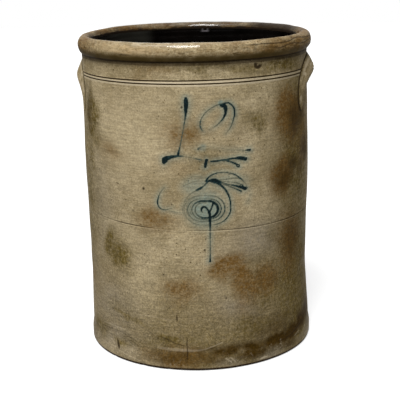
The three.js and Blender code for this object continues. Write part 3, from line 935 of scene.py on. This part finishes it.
def stoneware():
    """Glazed outside with its cobalt slip, blushes, smoke, dark soiling, painted shade and painted
    highlights.
    """
    shades = clay_shades("salt_glazed_stoneware")
    beading = shades.grain(300, 0.3, 0.65, 0.72, 1.0)
    shades.lay(HALO_TINT, shades.times(shades.times(shades.mark("halo"), beading), 0.85))
    stained(shades)
    cobalt = shades.times(shades.mark("cobalt"), beading)
    slip = shades.mix(shades.ramp(cobalt, 0.35, 0.72), COBALT_FAINT, COBALT_MID)
    slip = shades.mix(shades.ramp(cobalt, 0.60, 0.85), slip, COBALT_DEEP)
    shades.lay(slip, shades.ramp(cobalt, 0.05, 0.6))
    # Pale wear, with painted highlights under the scribed lines and the seam
    shades.lay(WORN_AND_HIGHLIGHT_PALE, shades.mark("worn_and_highlight"))
    # Dark lines, pits and cracks, with painted shade under the rim and by the handles
    shades.lay(GRIME_AND_SHADE_DARK, shades.times(shades.mark("grime_and_shade"), 0.92))
    return glazed(shades, shades.grain(40, 0.3, 0.7, 0.5, 0.66), 0.4)


def rim_glaze():
    """The rim: browner and streaked along, painted shade under its roll, pale rubbed and painted highlight
    patches, and slip lapping over its inner edge.
    """
    shades = clay_shades("rim_glaze")
    shades.cover(BLUSH_BROWN, 34, 0.34, 0.62, 0.3, 1.0, "toast", detail=5, stretch=(0.7, 2.5), rough=0.7)
    shades.cover(BLUSH_BROWN, 170, 0.42, 0.6, end=0.4, detail=4, stretch=(0.7, 1.4), rough=0.7)
    toothed(shades, shades.mark("toast"))
    shades.cover(SMOKE_DARK, 120, 0.53, 0.61, 0.0, 0.8, "flecked", detail=5, stretch=(0.4, 1.5), rough=0.75)
    # Painted highlight: pale patches near the crest where the rim shines
    shades.cover(WORN_AND_HIGHLIGHT_PALE, 120, 0.5, 0.66, 0.0, 0.5, "shine_and_highlight", stretch=(0.5, 1.5))
    # Pale rubbed patch at the front left, partly painted highlight
    shades.cover(RIM_PALE_AND_HIGHLIGHT, 150, 0.34, 0.62, 0.1, 0.75, "rubbed", detail=4, stretch=(0.5, 1.6), rough=0.7)
    # Painted shade under the roll, slip, and the neck crease darkened by soiling and painted shade
    for mark, tint in (("under", RIM_UNDERSIDE_SHADE), ("slip", SLIP_THIN), ("grime_and_shade", GRIME_AND_SHADE_DARK)):
        shades.lay(tint, shades.mark(mark))
    return glazed(
        shades, shades.grain(55, 0.3, 0.7, 0.45, 0.62), 0.25,
        Coat_Weight=shades.times(shades.mark("shine_and_highlight"), RIM_COAT),
        Coat_Roughness=RIM_COAT_ROUGHNESS,
        Coat_Normal=shades.bump(shades.noise(260, 2.0), 0.2, 0.001),
    )


def foot_glaze():
    """The foot, bare and sandy underneath."""
    shades = clay_shades("foot_glaze")
    stained(shades)
    shades.cover(WORN_AND_HIGHLIGHT_PALE, 240, 0.58, 0.68, 0.0, 0.55, "crumbs", detail=4, rough=0.7)
    shades.lay(WORN_AND_HIGHLIGHT_PALE, shades.mark("worn_and_highlight"))
    # Dark pits, cracks and scratches, with a painted contact shadow round the bottom edge
    shades.lay(GRIME_AND_SHADE_DARK, shades.mark("grime_and_shade"))
    bare = shades.mark("bare")
    shades.lay(shades.mix(shades.grain(120, 0.35, 0.65, detail=4), SAND_DARK, SAND_PALE), bare)
    rough = shades.maths("ADD", shades.grain(40, 0.3, 0.7, 0.4, 0.58), shades.times(bare, 0.35))
    return glazed(shades, rough, 0.35)


def brown_slip():
    """Glossy, nearly black slip inside."""
    shades = Shades(bpy.data.materials.new("brown_slip"), SLIP_BLACK)
    shades.cover(SLIP_BROWN, 14, 0.35, 0.65, detail=4)
    # Painted sheen: a paler haze on the slip at the left
    shades.cover(SLIP_PAINTED_SHEEN, 24, 0.3, 0.6, 0.3, 0.9, "painted_sheen", detail=4)
    # Painted reflection: a small pale glint at the back
    shades.lay(GLINT_PALE, shades.mark("painted_glint"))
    ripple = shades.bump(shades.noise(60, stretch=(0.5, 3.0)), 0.25, 0.001)
    rough = shades.grain(30, 0.3, 0.7, 0.14, 0.26)
    return shades.surfaced(Roughness=rough, Specular_IOR_Level=SLIP_GLOSS, Normal=ripple)


GLAZE = stoneware()
RIM_GLAZE = rim_glaze()
FOOT_GLAZE = foot_glaze()
SLIP = brown_slip()


# Walls. A band of closer rows is given by the heights that it lies between and its step.


def lower_wall():
    scratched = (FOOT_TOP, 108.0, 1.35)
    decorated = (172.0, SEAM, 1.35)
    seam_band = (SEAM - 5.0, SEAM, 0.5)
    foot_band = (FOOT_TOP, FOOT_TOP + 8.0, 0.7)
    return thrown_section(
        "crock_lower_wall", "lower_wall", LOWER_COLUMNS, FOOT_TOP, SEAM, lambda share: share,
        (scratched, decorated, seam_band, foot_band),
    )


def upper_wall():
    decorated = (SEAM, 448.0, 1.35)
    dimple_band = (478.0, 492.0, 0.9)
    seam_band = (SEAM, SEAM + 5.0, 0.5)
    line_band = (SCRIBED[0] - 4.0, SCRIBED[1] + 4.0, 0.4)
    neck_band = (NECK - 8.0, NECK, 0.7)
    return thrown_section(
        "crock_upper_wall", "upper_wall", UPPER_COLUMNS, SEAM, NECK, lambda share: smooth(1.0 - share),
        (decorated, dimple_band, seam_band, line_band, neck_band),
    )


# Foot and floor
CHIP_DEEP = 2.2
BARE_HEIGHT = 0.7  # below it the foot is bare


def base_pan():
    corner = (FOOT_BEAD_RADIUS - FOOT_ROUND, FOOT_ROUND)
    under = np.stack([np.linspace(FLOOR_HOLE, corner[0], 24), np.zeros(24)], axis=-1)[:-1]
    edge = arc_of(corner, FOOT_ROUND, FOOT_ROUND, -90, 0, 8)
    bead = np.stack([np.full(8, FOOT_BEAD_RADIUS), np.linspace(FOOT_ROUND, FOOT_BEAD_TOP, 9)[1:]], axis=-1)
    rise = np.linspace(0, 1, 22)[1:]
    taper_radius = lerp(FOOT_BEAD_RADIUS, FOOT_NECK_RADIUS, smooth(rise))
    taper = np.stack([taper_radius, lerp(FOOT_BEAD_TOP, FOOT_TOP, rise)], axis=-1)
    fillet_middle = (INNER_RADIUS - FLOOR_FILLET, FLOOR + FLOOR_FILLET)
    fillet = arc_of(fillet_middle, FLOOR_FILLET, FLOOR_FILLET, 0, -90, 8)
    floor = np.array([[100.0, FLOOR], [FLOOR_HOLE, FLOOR]])
    profile = np.vstack([under, edge, bead, taper, [[INNER_RADIUS, FOOT_TOP]], fillet, floor])

    def relief(around, radius, height):
        """Follows the wall over it, with chips knocked out of the bottom edge."""
        points = place(around, radius, height)
        upper = smooth((height - 2.0) / (FOOT_TOP - 4.0))
        worn_edge = np.minimum(0.0, 0.3 * swell(points, 60, 60) - 0.15)
        chips = np.clip(swell(points, 22, 61) - 1.15, 0, 1) * smooth((12 - height) / 10)
        move = lerp(worn_edge, wall_relief(around, height), upper) + sway(around, height) - CHIP_DEEP * chips
        outside = radius > INNER_RADIUS + 2
        under_side = (height < 0.01) & (radius < corner[0] - 1)
        return np.where(outside & ~under_side, move, 0.0)

    def marks(arc, height, radius):
        outside = radius > INNER_RADIUS + 2
        made = {mark: np.where(outside, values, 0) for mark, values in outside_marks(arc, height).items()}
        made["bare"] = smooth((BARE_HEIGHT - height) / 0.6)
        patches = np.clip(0.25 + 0.6 * swell(place(arc / ARC, ARC, height), 70, 62), 0, 1)
        made["crumbs"] = patches * smooth((34.0 - height) / 8.0) * (1.0 - 0.6 * made["smoke"])
        return made

    return profile_piece(
        "crock_base", "base_pan", profile, LOWER_COLUMNS, relief, FOOT_GLAZE, marks,
        poles=True, level=True,
    )


# Rolled rim. Turns are degrees round from the front towards the right handle.
RIM_INSET = 11.0  # from its widest place in to its crest
RIM_SHOULDER = 15.3  # from its widest place up to its crest
RIM_INNER_ROUND = 10.5
RIM_LIP = 1.3  # how far it starts out from the neck
RIM_SWELLS = ((0.45, 120, 70), (0.2, 34, 71), (0.08, 12, 78))  # height, wavelength and seed
RIM_CRACK_DEEP = 0.5
RIM_WIDER = 2.2  # how much fuller it is behind the right handle


def rim_cracks(turn, height, points):
    """Two fine cracks along the right of the rim and a short crease at the left, 0 to 1."""
    upper = groove(height - 515.5 - 1.2 * swell(points, 60, 72), 1.0) * between(turn, 22, 14, 98, 14)
    lower = groove(height - 510.0 - 1.4 * swell(points, 50, 73), 0.9) * between(turn, 38, 14, 92, 14)
    crease = 0.8 * groove(height - 504.5 - 0.8 * swell(points, 40, 79), 1.2) * bell(turn, -28, 4)
    return strongest(upper, lower, crease)


def rolled_rim():
    bulge = CREST - RIM_SHOULDER
    crest = RIM_RADIUS - RIM_INSET
    lip_angle = np.degrees(np.arccos((NECK_RADIUS + RIM_LIP - crest) / RIM_INSET))
    lower_rise = (bulge - NECK) / sin(radians(lip_angle))
    lower = arc_of((crest, bulge), RIM_INSET, lower_rise, -lip_angle, 0, 14)
    upper = arc_of((crest, bulge), RIM_INSET, RIM_SHOULDER, 0, 90, 18)[1:]
    inner_middle = (crest, CREST - RIM_INNER_ROUND)
    inner = arc_of(inner_middle, crest - INNER_RADIUS, RIM_INNER_ROUND, 90, 180, 12)[1:]
    profile = np.vstack([[[INNER_RADIUS, NECK]], lower, upper, inner, [[INNER_RADIUS, NECK + 8]]])

    def relief(around, radius, height):
        """Lumps, cracks, and a fuller roll at the right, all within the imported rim."""
        points = place(around, radius, height)
        turn = np.degrees(around)
        full = np.maximum(smooth((np.abs(turn) - 100.0) / 40.0), bell(turn, -40.0, 30.0))
        move = swells(points, RIM_SWELLS) - lerp(0.85, 0.35, full)
        move = move - RIM_CRACK_DEEP * rim_cracks(turn, height, points) * (radius > crest)
        wider = RIM_WIDER * bell(turn, 112.0, 34.0) * smooth((radius - crest - 1.5) / 9.0)
        wider = wider * smooth((height - NECK - 2.0) / 6.0)
        return np.where(radius > INNER_RADIUS + 0.5, np.minimum(move, 0.0) + wider, 0.0)

    def marks(arc, height, radius):
        turn = np.degrees(arc / ARC)
        points = place(arc / ARC, radius, height)
        outer = radius > crest
        inside = smooth((crest - radius + 2) / 6)
        browned = strongest(inside, between(turn, 8, 65, 190, 60), smooth((-34 - turn) / 36))
        toast = 0.36 + 0.64 * browned + 0.15 * swell(points, 80, 74)
        low_face = 0.9 * groove(height - bulge + 3.0, 9.0)
        # The crease at the neck, darkened by soiling and painted shade, and the cracks
        darkening = np.maximum(0.98 * smooth((NECK + 2.6 - height) / 2.0), rim_cracks(turn, height, points))
        # Painted shade on the lower half of the roll, which faces down
        under = smooth((bulge + 1.5 - height) / 9.5) * (0.95 + 0.1 * swell(points, 25, 75))
        # Painted highlight is strongest where the crest catches the light, at the front and on the inner lip
        # at the back
        facing = bell(turn, -6.0, 26.0) + bell(np.abs(turn), 175.0, 26.0)
        ragged = swells(points, ((1.2, 90, 76), (0.8, 16, 77)))
        lap = smooth((CREST - 6.0 + ragged - height) / 2.0)
        thin_lap = 0.45 * smooth((CREST - 1.0 + ragged - height) / 4.0)
        back = 0.6 * bell(np.abs(turn), 180.0, 50.0)
        right_back = between(turn, 82.0, 36.0, 168.0, 28.0) * lerp(0.3, 0.92, inside)
        made = {
            "toast": toast,
            "flecked": np.maximum(toast, low_face),
            "grime_and_shade": darkening * outer,
            "under": under * outer,
            "slip": strongest(np.maximum(lap, thin_lap) * (radius < crest), back, right_back),
            # Painted highlight near the crest, which is also where the clear coat lies
            "shine_and_highlight": smooth((height - CREST + 9.0) / 7.0) * (0.15 + 0.85 * facing),
            # Pale rubbed patch at the front left, partly painted highlight
            "rubbed": 0.7 * bell(turn, -27.0, 15.0) * groove(height - CREST + 11.0, 9.0),
        }
        return {mark: np.clip(values, 0, 1) for mark, values in made.items()}

    return profile_piece(
        "crock_rim", "rolled_rim", profile, EVEN_COLUMNS, relief, RIM_GLAZE, marks
    )


# Slip inside
SLIP_GAP = 0.3  # between the wall and the back of the slip
SLIP_RING, SLIP_RING_SPACING = 0.12, 14.0
GLINT_TURN, GLINT_HEIGHT = 178.5, 509.0  # a painted glint, a small reflection on the slip at the back: degrees round from the front, and height


def slip_lining():
    outer = FLOOR_FILLET - SLIP_GAP
    inner = outer - SLIP_COAT
    middle = (INNER_RADIUS - FLOOR_FILLET, FLOOR + FLOOR_FILLET)
    back = np.vstack([[[FLOOR_HOLE, middle[1] - outer]], arc_of(middle, outer, outer, -90, 0, 10)])
    face = arc_of(middle, inner, inner, 0, -90, 10)
    # Close rows down to here hold the painted glint
    glint_rows_end = LINING_TOP - 14
    rise = np.append(np.arange(LINING_TOP, glint_rows_end, -1.0), np.linspace(glint_rows_end, middle[1] + 4, 88))
    wall = np.stack([np.full(len(rise), middle[0] + inner), rise], axis=-1)
    floor = np.stack([np.linspace(140, FLOOR_HOLE, 7), np.full(7, middle[1] - inner)], axis=-1)
    profile = np.vstack([back, [[middle[0] + outer, LINING_TOP]], wall, face, floor])

    def relief(around, radius, height):
        """Faint rings of throwing on the face that shows."""
        drift = swell(place(around, radius, height), 200, 80)
        rings = SLIP_RING * np.sin(2 * pi * height / SLIP_RING_SPACING + drift)
        return np.where(radius < middle[0] + inner + 0.05, rings * smooth((LINING_TOP - 1 - height) / 6), 0.0)

    def marks(arc, height, radius):
        """A small painted reflection at the back, close under the rim, and a painted sheen on the slip at the
        left.
        """
        turn = np.degrees(arc / ARC) % 360
        across = np.abs(turn - GLINT_TURN)
        up = height - GLINT_HEIGHT
        sides = groove(across - 1.6, 0.7) * smooth((up + 3.0) / 2.0) * 0.6
        bar = groove(up + 2.0, 1.6) * smooth((2.6 - across) / 0.8)
        # Painted sheen on the slip at the left
        painted_sheen = between(turn, 209.0, 10.0, 278.0, 30.0) * smooth((height - 380.0) / 60.0)
        wall_only = radius > INNER_RADIUS - 6
        return {"painted_glint": np.maximum(sides, bar) * wall_only, "painted_sheen": painted_sheen * wall_only}

    return profile_piece(
        "crock_slip_lining", "slip_lining", profile, EVEN_COLUMNS, relief, SLIP, marks,
        poles=True,
    )


# Ear handles
HANDLE_CLEAN = 0.35  # share of the wall's stains that reaches the handles


def ear_handle(name, node, side, seed, ridge_low, flatter, edge):
    """An arched strap pressed on to the wall, thickest at the top of its arch.

    The ridge lies a share of the half width under the middle. Flatter and edge are millimetres.
    """
    strap = np.sin(np.linspace(-pi / 2, pi / 2, 33))
    along, across = np.meshgrid(np.linspace(-1, 1, 121), strap, indexing="ij")
    arc, height = handle_spot(along, across)
    around = side * pi / 2 + side * arc / BODY_RADIUS
    wall = thrown_radius(around, height)
    lump = swells(place(around, wall, height), ((0.35, 40, seed), (0.2, 17, seed + 1)))
    reach = HANDLE_REACH - 0.5 - wall_radius(np.array(HANDLE_RIDGE)) - flatter
    peak = lerp(reach, HANDLE_TIP_PROUD - flatter, smooth(np.abs(along)))
    from_ridge = np.abs(across + ridge_low * (1 - across**2))
    thick = edge + (peak - edge + lump - 0.6) * (1 - from_ridge**1.6)
    face = place(around, wall + thick, height)
    back = place(around, wall - HANDLE_SUNK, height)
    points = np.concatenate([face, back[:, ::-1]], axis=1)
    rows, ring = points.shape[:2]
    faces = ring_faces(rows, ring, loop=False)
    faces.append(list(range(ring)))
    faces.append([(rows - 1) * ring + j for j in reversed(range(ring))])
    if side > 0:
        faces = [face[::-1] for face in faces]
    around, height, across, along = (
        np.concatenate([values, values[:, ::-1]], axis=1) for values in (around, height, across, along)
    )
    made = handle_marks(around, height, across, along, seed)
    return new_piece(name, node, points.reshape(-1, 3), faces, GLAZE, made)


def handle_marks(around, height, across, along, seed):
    """Cleaner than the wall, darker on the upper side, with edges darkened by soiling and painted contact
    shade, flecks, and pale rubbed places that are partly painted highlights.
    """
    made = outside_marks(around * ARC, height)
    skin = place(around, ARC, height)
    from_middle = np.abs(across)
    for stain in ("olive_and_shade", "brown", "smoke"):
        made[stain] = HANDLE_CLEAN * made[stain]
    made["olive_and_shade"] = np.maximum(made["olive_and_shade"], 0.75 * smooth((across - 0.15) / 0.6))
    made["brown"] = np.maximum(made["brown"], 0.15 * smooth(1.2 - from_middle))
    flecks = smooth((swell(skin, 11, seed + 2) - 0.9) / 0.8) * smooth((SCRIBED[1] - height) / 30.0)
    # Strap edges darkened by soiling and painted contact shade
    made["grime_and_shade"] = np.maximum(smooth((from_middle - 0.95) / 0.05), 0.7 * flecks)
    # Pale rubbed places and patches, partly painted highlights
    rubbed = groove(from_middle - 0.72, 0.16) * smooth(1.6 - 2.0 * np.abs(along))
    pale = smooth((swell(skin, 16, seed + 3) - 0.35) / 0.8) * groove(from_middle - 0.6, 0.4)
    made["worn_and_highlight"] = 0.5 * np.maximum(rubbed, pale)
    return made


base_pan()
lower_wall()
upper_wall()
rolled_rim()
slip_lining()
ear_handle("crock_right_handle", "right_handle", 1, 90, ridge_low=0.06, flatter=0.0, edge=1.0)
ear_handle("crock_left_handle", "left_handle", -1, 95, ridge_low=0.25, flatter=0.9, edge=0.4)


# Floor, light and camera. Distances are metres.
WHITE = (1.0, 1.0, 1.0, 1.0)
FLOOR_HALF, FLOOR_DROP = 6.0, 0.5 * MM
FLOOR_GREY, FLOOR_GLOW = (0.4, 0.4, 0.4), 0.66
SKY_STRENGTH = 0.2


def seen_by_eye(shades):
    """1 for rays that show the background: straight, mirrored and through glass."""
    path = shades.add("ShaderNodeLightPath").outputs
    seen = shades.maths("MAXIMUM", path["Is Camera Ray"], path["Is Glossy Ray"])
    return shades.maths("MAXIMUM", seen, path["Is Transmission Ray"])


def plain_floor():
    shades = Shades(bpy.data.materials.new("pale_floor"), FLOOR_GREY)
    material = shades.surfaced(Roughness=0.9)
    nodes = shades.tree.nodes
    dark = shades.wired("ShaderNodeEmission", WHITE, 0.0)
    glow = shades.wired("ShaderNodeEmission", WHITE, FLOOR_GLOW)
    lit = shades.wired("ShaderNodeMixShader", seen_by_eye(shades), dark, glow)
    both = shades.wired("ShaderNodeAddShader", nodes["Principled BSDF"].outputs[0], lit)
    shades.put(nodes["Material Output"].inputs["Surface"], both)
    corners = [(x * FLOOR_HALF, y * FLOOR_HALF, -FLOOR_DROP) for x, y in ((-1, -1), (1, -1), (1, 1), (-1, 1))]
    mesh = bpy.data.meshes.new("floor")
    mesh.from_pydata(corners, [], [(0, 1, 2, 3)])
    mesh.materials.append(material)
    in_scene("floor", mesh)


def lamp(name, kind, power, towards, spot=(0.0, 0.0, 0.0)):
    """A lamp at a spot that shines in a direction."""
    light = bpy.data.lights.new(name, kind)
    light.energy = power
    holder = in_scene(name, light)
    holder.location = spot
    holder.rotation_euler = towards.to_track_quat("-Z", "Y").to_euler()
    return light


def softbox(name, spot, target, size, power):
    light = lamp(name, "AREA", power, Vector(target) - Vector(spot), spot)
    light.shape = "DISK"
    light.size = size


def sun(name, around, up, spread, power):
    """A wide soft sun: degrees round from the front towards the right, degrees up, width in degrees."""
    around, up = radians(around), radians(up)
    direction = Vector((-sin(around) * cos(up), cos(around) * cos(up), -sin(up)))
    lamp(name, "SUN", power, direction).angle = radians(spread)


def white_world():
    world = bpy.data.worlds.new("studio")
    shades = Shades(world)
    nodes = shades.tree.nodes
    sky = nodes["Background"]
    shades.set_inputs(sky, {"Color": WHITE, "Strength": SKY_STRENGTH})
    backdrop = shades.wired("ShaderNodeBackground", WHITE, 1.0)
    pick = shades.wired("ShaderNodeMixShader", seen_by_eye(shades), sky.outputs[0], backdrop)
    shades.put(nodes["World Output"].inputs["Surface"], pick)
    bpy.context.scene.world = world


def photo_camera():
    turn = Matrix.Rotation(CAMERA_AROUND, 3, "Z")
    level_ahead = Vector((sin(CAMERA_YAW), cos(CAMERA_YAW), 0.0))
    level = Vector((cos(CAMERA_YAW), -sin(CAMERA_YAW), 0.0))
    forward = cos(CAMERA_PITCH) * level_ahead - sin(CAMERA_PITCH) * Vector((0.0, 0.0, 1.0))
    up = level.cross(forward)
    right = cos(CAMERA_ROLL) * level + sin(CAMERA_ROLL) * up
    top = -sin(CAMERA_ROLL) * level + cos(CAMERA_ROLL) * up
    spot = Vector((0.0, -CAMERA_DISTANCE, CAMERA_HEIGHT)) * MM
    columns = [turn @ v for v in (right, top, -forward, spot)]
    lens = bpy.data.cameras.new("photo_camera")
    lens.sensor_width = 36.0
    lens.lens = FOCAL_PIXELS * lens.sensor_width / PICTURE
    camera = in_scene("photo_camera", lens)
    rows = [[column[i] for column in columns] for i in range(3)]
    camera.matrix_world = Matrix(rows + [[0.0, 0.0, 0.0, 1.0]])
    bpy.context.scene.camera = camera


plain_floor()
white_world()
sun("key", -10.0, 58.0, 24.0, 4.5)
softbox("top", (-0.5, -0.5, 1.9), (0.0, 0.0, 0.45), 0.8, 6.0)
photo_camera()
bpy.context.scene.view_settings.view_transform = "Standard"
